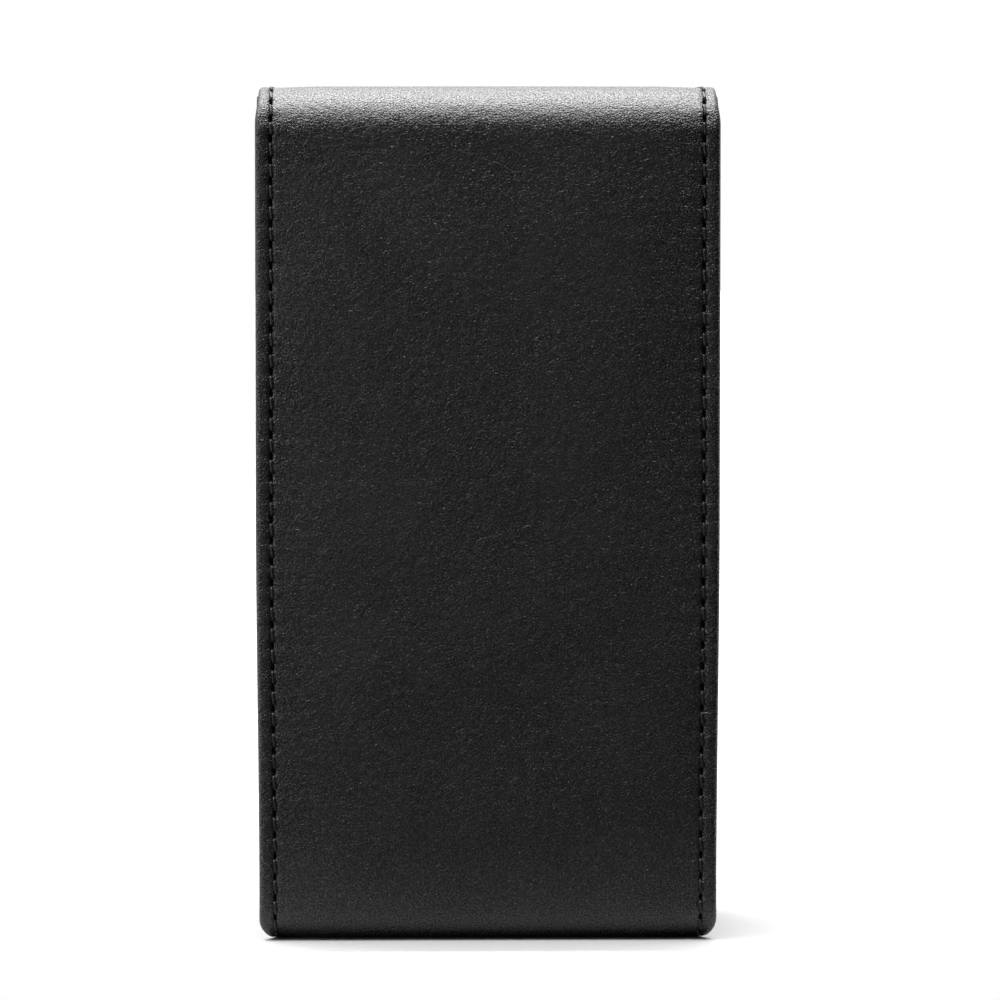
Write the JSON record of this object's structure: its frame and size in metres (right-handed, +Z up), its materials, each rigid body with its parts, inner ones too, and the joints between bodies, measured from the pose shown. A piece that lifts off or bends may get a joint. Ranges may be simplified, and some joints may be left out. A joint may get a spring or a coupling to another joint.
{
  "type": "ever ready case",
  "caption": "Upright leather ever ready case for a pocket-size optic, with a folding lid and a front flap held by a press stud.",
  "frame": {"origin": "on the floor under the middle of the closed case's bounding box", "axes": "+Z up, +Y out of the front towards the flap, -Y out of the plain back panel, +X across the width"},
  "size_m": [0.07, 0.0484, 0.129],
  "materials": {
    "leather": "fine pebble grain, semi-matt",
    "lining": "matt microfibre",
    "foam": "matt felted pad",
    "board": "matt",
    "thread": "waxed thread",
    "metal": "blackened, satin"
  },
  "bodies": {
    "case": {"outer_wrap": "leather", "pocket_lining": "lining", "mouth_facing": "leather", "left_gusset": "leather", "right_gusset": "leather", "left_gusset_lining": "lining", "right_gusset_lining": "lining", "back_pad": "foam", "front_pad": "foam", "bottom_board": "board", "left_pocket_seam": "thread", "right_pocket_seam": "thread", "left_gusset_hem": "thread", "right_gusset_hem": "thread", "mouth_hem": "thread", "snap_stud": "metal", "snap_post": "metal", "snap_washer": "board"},
    "lid": {"lid_leather": "leather", "lid_board": "board", "lid_lining": "lining", "left_lid_seam": "thread", "right_lid_seam": "thread"},
    "flap": {"flap_leather": "leather", "flap_board": "board", "flap_lining": "lining", "flap_seam": "thread", "snap_cap": "metal", "snap_socket": "metal"}
  },
  "joints": [
    {"name": "lid_fold", "type": "hinge", "parent": "case", "child": "lid", "pos_m": [0, -0.02229, 0.12709], "axis": [1, 0, 0], "range_deg": [0, 120]},
    {"name": "flap_fold", "type": "hinge", "parent": "lid", "child": "flap", "pos_m": [0, 0.02119, 0.12709], "axis": [1, 0, 0], "range_deg": [0, 120]}
  ]
}
